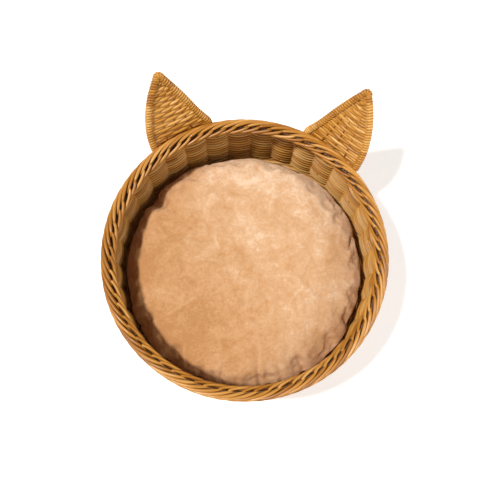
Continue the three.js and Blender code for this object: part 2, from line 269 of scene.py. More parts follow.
class Strands:
    """Collects tubes into one mesh, with a UV map round and along each tube and a number for each strand."""

    def __init__(self, sides=8):
        self.sides = sides
        self.vertices = []
        self.faces = []
        self.uvs = []
        self.numbers = []
        self.count = 0

    def add(self, points, radius, oval=1.0):
        """Adds a tube along the points, with one radius or one for each point. Oval makes it taller."""
        points = np.asarray(points, float)
        steps = len(points)
        radius = np.broadcast_to(radius, steps).astype(float)
        tangents = unit(np.gradient(points, axis=0))
        normals = carried_normals(tangents)
        binormals = np.cross(tangents, normals) * oval
        turn = np.arange(self.sides) / self.sides * TAU
        ring = (normals[:, None, :] * np.cos(turn)[None, :, None]
                + binormals[:, None, :] * np.sin(turn)[None, :, None])
        tube = points[:, None, :] + ring * radius[:, None, None]
        along = np.concatenate([[0.0], np.cumsum(np.linalg.norm(np.diff(points, axis=0), axis=1))])
        start = self.count
        self.vertices.append(tube.reshape(-1, 3))
        lower = np.arange(steps - 1)[:, None] * self.sides
        side = np.arange(self.sides)[None, :]
        after = (side + 1) % self.sides
        quads = np.stack(np.broadcast_arrays(
            lower + side, lower + after, lower + self.sides + after, lower + self.sides + side), axis=-1)
        self.faces.extend((quads.reshape(-1, 4) + start).tolist())
        u_low = side / self.sides
        u_high = (side + 1) / self.sides
        v_low = along[:-1, None]
        v_high = along[1:, None]
        corners = [(u_low, v_low), (u_high, v_low), (u_high, v_high), (u_low, v_high)]
        uv = np.stack([np.stack(np.broadcast_arrays(u, v), axis=-1) for u, v in corners], axis=2)
        self.uvs.append(uv.reshape(-1, 2))
        self.faces.append((np.arange(self.sides)[::-1] + start).tolist())
        self.faces.append((np.arange(self.sides) + start + (steps - 1) * self.sides).tolist())
        caps = np.zeros((2 * self.sides, 2))
        caps[self.sides:, 1] = along[-1]
        self.uvs.append(caps)
        self.numbers.append(np.full(steps * self.sides, RANDOM.random()))
        self.count += steps * self.sides

    def build(self, name, material):
        """Makes the object."""
        mesh = bpy.data.meshes.new(name)
        mesh.from_pydata(np.concatenate(self.vertices).tolist(), [], self.faces)
        layer = mesh.uv_layers.new(name="strand_uv")
        layer.data.foreach_set("uv", np.concatenate(self.uvs).astype(np.float32).ravel())
        number = mesh.attributes.new("strand", "FLOAT", "POINT")
        number.data.foreach_set("value", np.concatenate(self.numbers).astype(np.float32))
        mesh.polygons.foreach_set("use_smooth", np.ones(len(mesh.polygons), bool))
        mesh.materials.append(material)
        made = bpy.data.objects.new(name, mesh)
        bpy.context.scene.collection.objects.link(made)
        return made


def tapered(radius, steps, share, tip, end):
    """Radii of a strand that starts as thin as the tip and thins again to its end, there by the end's share.

    Each taper takes up a share of the strand's length.
    """
    along = np.linspace(0, 1, steps)
    first = 1 - (1 - tip) * np.clip(1 - along / share, 0, 1) ** 1.5
    last = 1 - end * (1 - tip) * np.clip(1 - (1 - along) / share, 0, 1) ** 1.5
    return radius * first * last


def smooth_path(points, steps):
    """A Catmull-Rom curve through the points, evenly stepped in its parameter."""
    points = np.asarray(points, float)
    padded = np.vstack([2 * points[0] - points[1], points, 2 * points[-1] - points[-2]])
    place = np.linspace(0, len(points) - 1, steps)
    index = np.minimum(place.astype(int), len(points) - 2)
    t = (place - index)[:, None]
    a, b, c, d = (padded[index + offset] for offset in range(4))
    bend = (2 * a - 5 * b + 4 * c - d) * t ** 2
    twist = (3 * b - a - 3 * c + d) * t ** 3
    return 0.5 * (2 * b + (c - a) * t + bend + twist)


def place(piece, body, slot, *replaced):
    """Attaches a piece to the body it rides on and hides the CAD nodes it stands for. The slot is not used.
    """
    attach(piece, body)
    if replaced:
        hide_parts(*replaced)


# ---- Colours ----

def linear(red, green, blue):
    """A colour given as screen values from 0 to 255, as the shader's linear numbers."""
    values = []
    for value in (red, green, blue):
        share = value / 255
        values.append(share / 12.92 if share <= 0.04045 else ((share + 0.055) / 1.055) ** 2.4)
    return tuple(values)


# Each cane has a dark, a middle and a light tone.
PALE = (linear(162, 100, 26), linear(220, 160, 68), linear(246, 200, 122))
STRAW = (linear(152, 92, 20), linear(210, 150, 60), linear(240, 192, 114))
HONEY = (linear(136, 79, 15), linear(191, 130, 46), linear(228, 175, 98))
BROWN = (linear(104, 58, 16), linear(160, 100, 36), linear(200, 142, 70))
# Painted shade: the tones of the strands deep inside the border's roll, darker than their stake cane.
PAINTED_SHADE_TONES = (linear(58, 30, 8), linear(96, 56, 18), linear(128, 80, 34))
# The dark colour of the painted shade between neighbouring strands.
CREVICE_SHADE_COLOR = linear(58, 26, 6)
NAP_TONES = ((0.36, linear(182, 133, 86)), (0.46, linear(200, 154, 109)),
             (0.56, linear(214, 174, 135)), (0.67, linear(233, 206, 176)))
NAP_DEPTH = linear(172, 120, 78)
NAP_SHEEN = linear(255, 228, 196)
FLOOR_TONES = ((0.3, (0.86, 0.86, 0.86)), (0.7, (0.88, 0.88, 0.88)))


# ---- Materials ----

class Shader:
    """A material's node tree, with short calls for making and joining nodes."""

    def __init__(self, name):
        self.material = bpy.data.materials.new(name)
        self.material.use_nodes = True
        self.nodes = self.material.node_tree.nodes
        self.links = self.material.node_tree.links
        self.surface = self.nodes["Principled BSDF"]

    def node(self, kind, inputs=None, **settings):
        """A new node. Each input is a value, or another node's output to join it to."""
        made = self.nodes.new(kind)
        for key, value in settings.items():
            setattr(made, key, value)
        for key, value in (inputs or {}).items():
            if isinstance(value, bpy.types.NodeSocket):
                self.links.new(value, made.inputs[key])
            else:
                made.inputs[key].default_value = value
        return made

    def set(self, key, value):
        """Sets or joins an input of the surface."""
        if isinstance(value, bpy.types.NodeSocket):
            self.links.new(value, self.surface.inputs[key])
        else:
            self.surface.inputs[key].default_value = value

    def ramp(self, factor, stops):
        """A colour that runs through stops of (place, colour)."""
        made = self.node("ShaderNodeValToRGB", {"Fac": factor})
        elements = made.color_ramp.elements
        while len(elements) < len(stops):
            elements.new(0.5)
        for element, (position, color) in zip(elements, stops):
            element.position = position
            element.color = (*color, 1.0)
        return made.outputs["Color"]

    def math(self, operation, a, b):
        """The result of one sum."""
        return self.node("ShaderNodeMath", {0: a, 1: b}, operation=operation).outputs[0]

    def vector(self, operation, a, b):
        """The result of one sum of vectors."""
        return self.node("ShaderNodeVectorMath", {0: a, 1: b}, operation=operation).outputs[0]

    def weighted(self, *terms):
        """The sum of values that are each given with a weight."""
        parts = [self.math("MULTIPLY", value, weight) for value, weight in terms]
        total = parts[0]
        for part in parts[1:]:
            total = self.math("ADD", total, part)
        return total

    def noise(self, vector, scale, detail, roughness=0.55):
        """Smooth noise from 0 to 1."""
        return self.node("ShaderNodeTexNoise", {
            "Vector": vector, "Scale": scale, "Detail": detail, "Roughness": roughness,
        }).outputs["Fac"]

    def mix(self, factor, a, b):
        """Colour a turned towards the plain colour b by a factor. The factor and a come from other nodes."""
        made = self.node("ShaderNodeMix", data_type="RGBA")
        inputs = {socket.identifier: socket for socket in made.inputs}
        self.links.new(factor, inputs["Factor_Float"])
        self.links.new(a, inputs["A_Color"])
        inputs["B_Color"].default_value = (*b, 1.0)
        return next(socket for socket in made.outputs if socket.identifier == "Result_Color")

    def bump(self, height, strength, distance, normal=None):
        """A normal tilted by a height, on top of another normal if one is given."""
        inputs = {"Height": height, "Strength": strength, "Distance": distance}
        if normal is not None:
            inputs["Normal"] = normal
        return self.node("ShaderNodeBump", inputs).outputs["Normal"]


def cane(name, tones, roughness=0.42, painted_crevice_shade=0.0):
    """Round cane: streaked along the strand, each strand a little different, with fine grooves.

    The last argument sets how strongly painted shade darkens the two sides of a strand that face its
    neighbours above and below.
    """
    dark, middle, light = tones
    shader = Shader(name)
    uv = shader.node("ShaderNodeUVMap", uv_map="strand_uv").outputs["UV"]
    strand = shader.node("ShaderNodeAttribute", attribute_name="strand").outputs["Fac"]
    offset = shader.node("ShaderNodeCombineXYZ", {"Z": shader.math("MULTIPLY", strand, 37.0)}).outputs[0]

    def streaks(round_scale, along_scale, detail):
        """Noise of so many waves round the strand and so many a metre along it, different on each strand."""
        scaled = shader.vector("MULTIPLY", uv, (round_scale, along_scale, 1.0))
        return shader.noise(shader.vector("ADD", scaled, offset), 1.0, detail)

    broad = streaks(2.0, 18.0, 2.0)
    fine = streaks(9.0, 45.0, 3.0)
    grooves = streaks(16.0, 12.0, 1.0)
    tone = shader.weighted((broad, 0.45), (fine, 0.3), (strand, 0.26))
    color = shader.ramp(tone, ((0.28, dark), (0.5, middle), (0.72, light)))
    color = shader.mix(shader.math("MULTIPLY", grooves, 0.35), color, dark)
    # Painted shade: the two sides of the strand that face its neighbours are turned towards a dark shade
    # colour.
    if painted_crevice_shade:
        round_place = shader.node("ShaderNodeSeparateXYZ", {0: uv}).outputs["X"]
        wave = shader.math("SINE", shader.math("MULTIPLY", round_place, TAU), 0.0)
        shaded_sides = shader.math("POWER", shader.math("ABSOLUTE", wave, 0.0), 3.0)
        color = shader.mix(shader.math("MULTIPLY", shaded_sides, painted_crevice_shade), color, CREVICE_SHADE_COLOR)
    shader.set("Base Color", color)
    shader.set("Roughness", shader.node("ShaderNodeMapRange", {
        "Value": fine, "From Min": 0.3, "From Max": 0.7,
        "To Min": roughness - 0.08, "To Max": roughness + 0.12,
    }).outputs[0])
    shader.set("Specular IOR Level", 0.45)
    normal = shader.bump(grooves, 0.35, 0.0004)
    shader.set("Normal", shader.bump(fine, 0.25, 0.0002, normal))
    return shader.material


def plush():
    """Short-pile plush: soft mottled pile, brushed one way in some patches and the other way in others, with
    painted light and shade along the creases and painted light towards the back and the right.
    """
    shader = Shader("plush")
    point = shader.node("ShaderNodeTexCoord").outputs["Object"]
    # A mark for painted light on the crease ridges and painted shade in the valleys beside them.
    crease_shade_mark = shader.node("ShaderNodeAttribute", attribute_name="nap").outputs["Fac"]

    def warped(scale, amount):
        """The point, pushed about by noise, so that what is drawn there has no straight grain."""
        settings = {"Vector": point, "Scale": scale, "Detail": 2.0}
        field = shader.node("ShaderNodeTexNoise", settings).outputs["Color"]
        return shader.vector("ADD", shader.vector("MULTIPLY", field, (amount, amount, amount)), point)

    broad = shader.noise(warped(6.0, 0.08), 7.0, 2.0, 0.5)
    brushed = shader.noise(warped(14.0, 0.10), 24.0, 5.0, 0.62)
    strokes = shader.noise(warped(30.0, 0.06), 70.0, 3.0, 0.6)
    grain = shader.noise(warped(60.0, 0.02), 260.0, 3.0, 0.65)
    fibres = shader.noise(point, 1100.0, 2.0, 0.7)
    # Painted light: the tone is paler towards the back and towards the right, which lifts the shade of the
    # right slope, turned away from the key.
    places = shader.node("ShaderNodeSeparateXYZ", {0: point}).outputs
    tone = shader.weighted((broad, 0.26), (brushed, 0.30), (strokes, 0.20), (grain, 0.24), (crease_shade_mark, 0.055),
                           (places["Y"], 0.45), (places["X"], 0.50))
    color = shader.ramp(tone, NAP_TONES)
    color = shader.mix(shader.math("MULTIPLY", fibres, 0.20), color, NAP_DEPTH)
    shader.set("Base Color", color)
    shader.set("Roughness", 0.92)
    shader.set("Specular IOR Level", 0.15)
    shader.set("Sheen Weight", 0.30)
    shader.set("Sheen Roughness", 0.45)
    shader.set("Sheen Tint", (*NAP_SHEEN, 1.0))
    normal = shader.bump(brushed, 0.35, 0.0022)
    normal = shader.bump(strokes, 0.30, 0.0010, normal)
    normal = shader.bump(grain, 0.45, 0.0009, normal)
    shader.set("Normal", shader.bump(fibres, 0.5, 0.0005, normal))
    return shader.material


def floor_paint():
    """Matt white floor with a faint unevenness."""
    shader = Shader("floor_paint")
    point = shader.node("ShaderNodeTexCoord").outputs["Object"]
    shader.set("Base Color", shader.ramp(shader.noise(point, 2.0, 2.0), FLOOR_TONES))
    shader.set("Roughness", 0.9)
    shader.set("Emission Color", (1.0, 1.0, 1.0, 1.0))
    shader.set("Emission Strength", 0.45)
    return shader.material


# The cane of the wall, the wale and the base carries painted shade on the sides of its strands that face
# their neighbours.
WALL_CANE = cane("wall_cane", PALE, roughness=0.40, painted_crevice_shade=0.60)
BORDER_CANE = cane("border_cane", HONEY, roughness=0.34)
EAR_CANE = cane("ear_cane", STRAW, roughness=0.36)
STAKE_CANE = cane("stake_cane", BROWN)
# The core's cane is darkened with painted shade, as its strands lie deep in the roll.
CORE_CANE = cane("core_cane", PAINTED_SHADE_TONES)
PLUSH = plush()


# ---- Wall ----

def wall_weaver():
    """One long strand that spirals up the wall, in front of one stake pair and behind the next."""
    strands = Strands()
    low = WALE_TOP + WEAVER / 2
    high = RIM_FOOT + WEAVER / 2
    turns = (high - low) / ROW_PITCH
    steps_per_bay = 10
    bays = int(turns * STAKES)
    steps = bays * steps_per_bay + 1
    bay_place = np.linspace(0, bays, steps)
    height = low + bay_place / STAKES * ROW_PITCH
    swing = np.cos(math.pi * bay_place)
    swing = np.sign(swing) * np.abs(swing) ** 0.8
    wobble = np.array([noise.noise(Vector((p * 0.31, 4.7, 0.0))) for p in bay_place])
    radius = wall_radius(height) + WEAVE_WAVE * swing + 0.35 * MM * wobble
    height = height + 0.25 * MM * np.array([noise.noise(Vector((p * 0.53, 1.3, 9.0))) for p in bay_place])
    # The weaver is spliced from canes that are some bays long, each with a colour of its own.
    path = around(radius, FIRST_STAKE + bay_place * BAY, height)
    splice = SPLICE_BAYS * steps_per_bay
    for start in range(0, steps - 1, splice):
        end = min(start + splice + 1, steps)
        if end - start > 2:
            strands.add(path[start:end], WEAVER / 2, WEAVER_OVAL)
    place(strands.build("wall_weavers", WALL_CANE), BASKET, "wall_wicker", "wall_weave")


def upsett_wale():
    """Rounds of three-strand wale where the stakes turn up: each strand passes two outside and one inside."""
    strands = Strands()
    steps_per_bay = 8
    steps = STAKES * steps_per_bay + 1
    bay_place = np.linspace(0, STAKES, steps)
    outer = WALE_OUTER - WALE_SWING - WALE_STRAND / 2
    inner = WALE_INNER + WALE_SWING + WALE_STRAND / 2 - MM
    lowest = WALE_STRAND / 2 + 0.2 * MM
    highest = WALE_TOP - WALE_STRAND / 2
    for middle, level in ((outer, lowest), (outer, highest), (inner, lowest), (inner, highest - MM)):
        for strand in range(3):
            phase = TAU * (bay_place + strand) / 3
            radius = middle + WALE_SWING * np.cos(phase)
            height = np.maximum(level + WALE_TWIST * np.sin(phase), lowest)
            strands.add(around(radius, FIRST_STAKE + bay_place * BAY, height), WALE_STRAND / 2)
    place(strands.build("upsett_wale_strands", WALL_CANE), BASKET, "wall_wicker", "upsett_wale")


def stake_pairs():
    """Two round rods side by side in the place of each pair."""
    bend = STAKE_BEND
    for index, name in enumerate(STAKE_NODES):
        low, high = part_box(name)
        angle = FIRST_STAKE + index * BAY
        leg_inner = radii(name)[0]
        leg_z = low.z + STAKE / 2
        foot_radius = wall_radius(leg_z)
        profile = [
            (leg_inner, leg_z), (foot_radius - bend, leg_z),
            (foot_radius - 0.3 * bend, leg_z + 0.3 * bend), (wall_radius(leg_z + bend), leg_z + bend),
            (wall_radius(WALL_TOP / 2), WALL_TOP / 2), (wall_radius(WALL_TOP), WALL_TOP),
            (wall_radius(high.z), high.z - MM)]
        strands = Strands()
        for side in (-1, 1):
            offset = side * STAKE / 2 * 1.02
            path = smooth_path([(r, offset, z) for r, z in profile], 26)
            turned = path @ np.array(Matrix.Rotation(angle, 3, "Z")).T
            strands.add(turned, STAKE / 2)
        place(strands.build(name + "_rods", STAKE_CANE), BASKET, "stake_cane", name)


# ---- Border ----

def border_point(angle, section, depth):
    """A point of the border: at an angle round its oval section and a depth in from its skin."""
    radius = BORDER_RADIUS + (BORDER_HALF_WIDTH - depth) * np.cos(section)
    height = BORDER_Z + (BORDER_HALF_HEIGHT - depth) * np.sin(section)
    return around(radius, angle, height)


def crossing_angles(shares, jitter=0.05):
    """Angles at which a run of border strands crosses the line of slots, two in each bay."""
    for stake in range(STAKES):
        for share in shares:
            yield FIRST_STAKE - (stake + share + jitter * (RANDOM.random() - 0.5)) * BAY


def border_outer():
    """The broad outer run: strands that rise at the line of slots, run over the edge and tuck in below."""
    strands = Strands(sides=10)
    steps = 48
    first_section, last_section = OUTER_SECTIONS
    t = np.linspace(0, 1, steps)
    section = first_section + (last_section - first_section) * t
    under = np.clip((section - SLOT_LINE + 9) / 18, 0, 1) ** 1.3
    for crossing in crossing_angles(OUTER_CROSSINGS):
        span = OUTER_SPAN * BAY * (1 + 0.03 * (RANDOM.random() - 0.5))
        drift = span * (first_section - SLOT_LINE) / (first_section - last_section)
        depth = BORDER_STRAND / 2 + PLUNGE * under + 0.15 * MM * np.sin(5 * t + crossing * 7)
        path = border_point(crossing + drift - span * t, np.radians(section), depth)
        strands.add(path, tapered(BORDER_STRAND / 2, steps, share=0.14, tip=0.1, end=0.4))
    place(strands.build("border_outer_strands", BORDER_CANE), BASKET, "border_cane", "border_outer_run")


def border_inner():
    """The narrow inner run: strands that rise under the inner edge, ever steeper, and dive at the slots."""
    strands = Strands(sides=10)
    steps = 34
    first_section, last_section = INNER_SECTIONS
    t = np.linspace(0, 1, steps)
    section = first_section + (last_section - first_section) * t
    under = np.clip((SLOT_LINE + 5 - section) / 13, 0, 1) ** 1.3
    run = 1 - (1 - t) ** 1.45
    crossing_run = np.interp(first_section - SLOT_LINE, first_section - section, run)
    for crossing in crossing_angles(INNER_CROSSINGS):
        span = INNER_SPAN * BAY * (1 + 0.05 * (RANDOM.random() - 0.5))
        depth = INNER_STRAND / 2 + PLUNGE * under
        path = border_point(crossing + span * (crossing_run - run), np.radians(section), depth)
        strands.add(path, tapered(INNER_STRAND / 2, steps, share=0.34, tip=0.3, end=0.2))
    place(strands.build("border_inner_strands", BORDER_CANE), BASKET, "border_cane", "border_inner_run")


def border_core():
    """The stake ends that run on round the basket inside the roll, side by side, in a cane darkened with
    painted shade.
    """
    strands = Strands()
    steps = 20
    for stake in range(STAKES):
        start = FIRST_STAKE - stake * BAY
        angle = start - np.linspace(0, CORE_SPAN, steps) * BAY
        for section in CORE_SECTIONS:
            strands.add(border_point(angle, math.radians(section), CORE_DEPTH), STAKE / 2)
    place(strands.build("border_core_strands", CORE_CANE), BASKET, "stake_cane")


# ---- Ears ----

class Ear:
    """The leaning, curved surface of one ear, measured from its CAD panel.

    A place on it is given by how far across, up and out through its back it lies from the middle of its foot.
    """

    def __init__(self, name):
        self.name = name
        points = node_points(f"ear_{name}_weave")
        reach = np.hypot(points[:, 0], points[:, 1])
        self.side = math.copysign(1, points[:, 0].mean())
        self.lean = math.atan(np.polyfit(points[:, 2], reach, 1)[0])
        up = reach * math.sin(self.lean) + points[:, 2] * math.cos(self.lean)
        out = reach * math.cos(self.lean) - points[:, 2] * math.sin(self.lean)
        foot = up.min()
        middle = (out.min() + out.max()) / 2
        self.foot_radius = foot * math.sin(self.lean) + middle * math.cos(self.lean)
        self.foot_z = foot * math.cos(self.lean) - middle * math.sin(self.lean)
        up -= foot
        self.top = up.max()
        bearing = np.arctan2(self.side * points[:, 0], points[:, 1])
        lowest = bearing[up < MM]
        self.bearing = (lowest.min() + lowest.max()) / 2
        across = (bearing - self.bearing) * reach
        self.heights = np.linspace(0, self.top, 25)
        self.outer = self.edge(across, up)
        self.inner = -self.edge(-across, up)

    def edge(self, across, up):
        """The largest distance across at each height: the outer side of the points' hull."""
        low = up < MM
        hull = [(0.0, across[low].max())]
        for index in np.lexsort((across, up)):
            if low[index]:
                continue
            point = (up[index], across[index])
            while len(hull) > 1:
                (x0, y0), (x1, y1) = hull[-2:]
                if (x1 - x0) * (point[1] - y0) - (y1 - y0) * (point[0] - x0) < 0:
                    break
                hull.pop()
            hull.append(point)
        return np.interp(self.heights, *zip(*hull))

    def point(self, across, up, out):
        """A point of the ear. Below its foot the surface stands nearly upright."""
        lean = np.where(np.asarray(up) < 0, FOOT_LEAN, self.lean)
        radius = self.foot_radius + up * np.sin(lean) + out * np.cos(lean)
        height = self.foot_z + up * np.cos(lean) - out * np.sin(lean)
        bearing = self.bearing + across / radius
        return np.stack(np.broadcast_arrays(
            self.side * radius * np.sin(bearing), radius * np.cos(bearing), height), axis=-1)

    def edges(self, up, inset):
        """How far across the inner and outer edges are at a height, drawn in by an inset."""
        flare = FOOT_FLARE * np.clip(1 - up / FLARE_RISE, 0, 1.25) ** 1.5
        inner = np.interp(up, self.heights, self.inner) + inset - flare
        return inner, np.interp(up, self.heights, self.outer) - inset


def resampled(points, pitch):
    """The path with points evenly spaced, a pitch apart."""
    lengths = np.concatenate([[0.0], np.cumsum(np.linalg.norm(np.diff(points, axis=0), axis=1))])
    count = max(int(lengths[-1] / pitch), 2)
    places = np.linspace(0, lengths[-1], count)
    return np.stack([np.interp(places, lengths, points[:, axis]) for axis in range(3)], axis=-1)


def ear_outline(ear):
    """The middle line of the frame round the ear, from foot to foot."""
    rise = np.linspace(-OUTLINE_FOOT, ear.top - EDGE_TOP, 15)
    inner, outer = ear.edges(rise, EAR_INSET)
    middle = (inner[-1] + outer[-1]) / 2
    half = (outer[-1] - inner[-1]) / 2
    tip = [(middle + half * math.cos(turn), rise[-1] + TIP_ROUND * math.sin(turn))
           for turn in np.radians((35, 90, 145))]
    flat = [*zip(outer, rise), *tip, *list(zip(inner, rise))[::-1]]
    return smooth_path([ear.point(across, up, 0.0) for across, up in flat], 220)


def leg_path(ear, at_outer):
    """One of the frame's two legs, from the ear's foot down outside the wall, as its CAD tube runs."""
    points = node_points(f"ear_{ear.name}_frame")
    bearing = np.arctan2(ear.side * points[:, 0], points[:, 1])
    mine = (bearing > ear.bearing) == at_outer
    heights = np.linspace(points[:, 2].min(), ear.foot_z, 7)
    path = []
    for height in heights:
        near = mine & (np.abs(points[:, 2] - height) < 5 * MM)
        if near.any():
            path.append([*points[near][:, :2].mean(axis=0), height])
    return np.array(path)[::-1]


def ear_frame(ear):
    """The bent rod of the frame, with its legs."""
    strands = Strands()
    outline = ear_outline(ear)
    outer_leg = leg_path(ear, True)
    inner_leg = leg_path(ear, False)
    whole = np.vstack([outer_leg[::-1][:-1], outline[::6], inner_leg[1:]])
    strands.add(smooth_path(whole, 160), EAR_ROD / 2)
    name = f"ear_{ear.name}_frame"
    place(strands.build(name + "_rod", STAKE_CANE), BASKET, "stake_cane", name)


def ear_wrapping(ear):
    """The strand wound round the frame, all the way up, over the tip and down."""
    strands = Strands()
    outline = ear_outline(ear)
    steps_per_turn = 20
    path = resampled(outline, EAR_WRAP_PITCH / steps_per_turn)
    tangents = unit(np.gradient(path, axis=0))
    normals = carried_normals(tangents)
    binormals = np.cross(tangents, normals)
    # The turns stay close together on the outside of the bend at the tip.
    bend = np.linalg.norm(np.gradient(tangents, axis=0), axis=1)
    turn = np.cumsum(EAR_WRAP_PITCH / steps_per_turn + WRAP_RADIUS * bend) / EAR_WRAP_PITCH * TAU
    coil = path + WRAP_RADIUS * (normals * np.cos(turn)[:, None] + binormals * np.sin(turn)[:, None])
    piece_length = steps_per_turn * 9
    for start in range(0, len(coil) - 2, piece_length):
        strands.add(coil[start:start + piece_length + 1], EAR_WRAP / 2)
    return strands


def ear_rows(ear, strands):
    """Rows of weaving between the two edges, over and under the inner stakes, dipping towards the foot."""
    share = np.linspace(-1, 1, 49)
    rows = int((ear.top - ROWS_END) / EAR_ROW_PITCH)
    for row in range(-ROWS_BELOW_FOOT, rows):
        level = row * EAR_ROW_PITCH
        inner, outer = ear.edges(level, EAR_INSET)
        width = outer - inner
        dip = min(ROW_DIP * width, ROW_DIP_MOST)
        up = level + dip * (share ** 2) - 0.25 * dip
        up = np.minimum(up, ear.top - ROWS_LIMIT)
        inner, outer = ear.edges(up, EAR_INSET)
        across = inner + (share + 1) / 2 * (outer - inner)
        bays = (share + 1) / 2 * (len(EAR_STAKES) + 1)
        swing = np.cos(math.pi * bays) * (1 if row % 2 else -1)
        out = EAR_SWING * swing * (1 - 0.6 * share ** 2)
        strands.add(ear.point(across, up, out), EAR_STRAND / 2)


def ear_stakes(ear):
    """The inner stakes, each a straight rod inside the weaving."""
    end = 4 * MM
    for position in EAR_STAKES:
        node = f"ear_{ear.name}_stake_{position}"
        points = node_points(node)
        top = points[points[:, 2] > points[:, 2].max() - end].mean(axis=0)
        foot = points[points[:, 2] < points[:, 2].min() + end].mean(axis=0)
        strands = Strands()
        strands.add(np.linspace(foot, top, 12), EAR_STAKE / 2)
        place(strands.build(node + "_rod", STAKE_CANE), BASKET, "stake_cane", node)


def ear_lashings(ear):
    """A few turns of strand round each leg and into the wall."""
    for position in ("outer", "inner"):
        node = f"ear_{ear.name}_lashing_{position}"
        points = node_points(node)
        middle = points.mean(axis=0)
        out = unit(np.array([middle[0], middle[1], 0.0]))
        along = np.array([-out[1], out[0], 0.0])
        half_depth = ((points - middle) @ out).max() - LASHING / 2
        half_width = ((points - middle) @ along).max() - LASHING / 2
        turn = np.linspace(0, LASHING_TURNS * TAU, LASHING_TURNS * 20)
        rise = np.linspace(-0.5, 0.5, len(turn)) * LASHING_RISE
        path = (middle + np.outer(np.cos(turn) * half_depth, out) + np.outer(np.sin(turn) * half_width, along)
                + np.outer(rise, (0.0, 0.0, 1.0)))
        strands = Strands()
        strands.add(path, LASHING / 2)
        place(strands.build(node + "_turns", EAR_CANE), BASKET, "ear_wicker", node)


def ears():
    """Both ears, each with its frame, inner stakes, lashings, winding and rows."""
    for name in ("left", "right"):
        ear = Ear(name)
        ear_frame(ear)
        ear_stakes(ear)
        ear_lashings(ear)
        strands = ear_wrapping(ear)
        ear_rows(ear, strands)
        place(strands.build(f"ear_{name}_weavers", EAR_CANE), BASKET, "ear_wicker", f"ear_{name}_weave")


# ---- Base ----

def base_spokes():
    """Two crossed bundles of rods, which fan out into the spokes."""
    middle = BASE_TOP / 2
    per_bundle = SPOKES // 4
    reach = BASE_RADIUS - SPOKE_TUCK
    for node, heading, side in (("base_sticks_across", 0.0, -1), ("base_sticks_along", math.pi / 2, 1)):
        strands = Strands()
        for index in range(per_bundle):
            place_in_bundle = index - (per_bundle - 1) / 2
            offset = place_in_bundle * SPOKE_PITCH
            fan = place_in_bundle * TAU / SPOKES
            path = smooth_path([
                (-reach * math.cos(fan), reach * math.sin(fan), middle),
                (-FAN_HALF, offset * FAN_SPREAD, middle), (-BUNDLE_HALF, offset, middle),
                (BUNDLE_HALF, offset, middle), (FAN_HALF, offset * FAN_SPREAD, middle),
                (reach * math.cos(fan), reach * math.sin(fan), middle)], 40)
            # One bundle passes over the other where they cross.
            path[:, 2] += side * BUNDLE_LIFT * np.exp(-(np.abs(path[:, 0]) / LIFT_REACH) ** 4)
            strands.add(path @ np.array(Matrix.Rotation(heading, 3, "Z")).T, SPOKE / 2)
        place(strands.build(node + "_rods", STAKE_CANE), BASKET, "stake_cane", node)


def base_weaver():
    """A strand that spirals out over and under, its crossings odd in number so that rounds alternate."""
    strands = Strands()
    outer = BASE_RADIUS + BASE_OVERRUN
    turns = (outer - BASE_START) / (BASE_STRAND * 1.03)
    steps_per_crossing = 5
    steps = int(turns * STAKES * steps_per_crossing)
    crossing = np.linspace(0, turns * STAKES, steps)
    radius = BASE_START + (outer - BASE_START) * crossing / crossing[-1]
    height = BASE_TOP / 2 + BASE_WAVE * np.cos(math.pi * crossing)
    path = around(radius, FIRST_STAKE + crossing / STAKES * TAU, height)
    splice = BASE_SPLICE * steps_per_crossing
    for start in range(0, steps - 2, splice):
        strands.add(path[start:start + splice + 1], BASE_STRAND / 2)
    place(strands.build("base_weavers", WALL_CANE), BASKET, "wall_wicker", "base_weave")


# ---- Cushion ----

def cushion_box():
    """Centre, radius, foot and top of the CAD cushion."""
    low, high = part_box("cushion_cover_bottom")[0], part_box("cushion_cover_top")[1]
    return (low + high) / 2, (high.x - low.x) / 2, low.z, high.z


def cushion_form():
    """A round pad a little smaller than its CAD solid, to be blown up by the cloth simulation."""
    centre, radius, foot, top = cushion_box()
    half = (top - foot) / 2 - CUSHION_SHRINK
    segments = 96
    rings = 26
    vertices = []
    for ring in range(rings + 1):
        turn = ring / rings * math.pi
        reach = (radius - CUSHION_SHRINK) * math.sin(turn) ** CUSHION_EDGE
        height = centre.z - math.copysign(abs(math.cos(turn)) ** CUSHION_CROWN, math.cos(turn)) * half
        for segment in range(segments):
            angle = segment / segments * TAU
            vertices.append((centre.x + reach * math.cos(angle), centre.y + reach * math.sin(angle), height))
    faces = []
    for ring in range(rings):
        for segment in range(segments):
            after = (segment + 1) % segments
            a = ring * segments
            b = (ring + 1) * segments
            faces.append((a + segment, a + after, b + after, b + segment))
    mesh = bpy.data.meshes.new("cushion_cover")
    mesh.from_pydata(vertices, [], faces)
    made = bpy.data.objects.new("cushion_cover", mesh)
    bpy.context.scene.collection.objects.link(made)
    return made


def apply_modifier(piece, modifier):
    """Applies one modifier of a piece."""
    bpy.context.view_layer.objects.active = piece
    with bpy.context.temp_override(object=piece, active_object=piece, selected_objects=[piece]):
        bpy.ops.object.modifier_apply(modifier=modifier.name)


def remesh(piece, voxel):
    """Evens out the piece's faces."""
    modifier = piece.modifiers.new("even", "REMESH")
    modifier.mode = "VOXEL"
    modifier.voxel_size = voxel
    modifier.use_smooth_shade = True
    apply_modifier(piece, modifier)


def mesh_points(piece):
    """The piece's vertices as an array."""
    points = np.zeros(len(piece.data.vertices) * 3, np.float32)
    piece.data.vertices.foreach_get("co", points)
    return points.reshape(-1, 3).astype(float)


def set_mesh_points(piece, points):
    """Puts the piece's vertices at new places."""
    piece.data.vertices.foreach_set("co", points.astype(np.float32).ravel())
    piece.data.update()


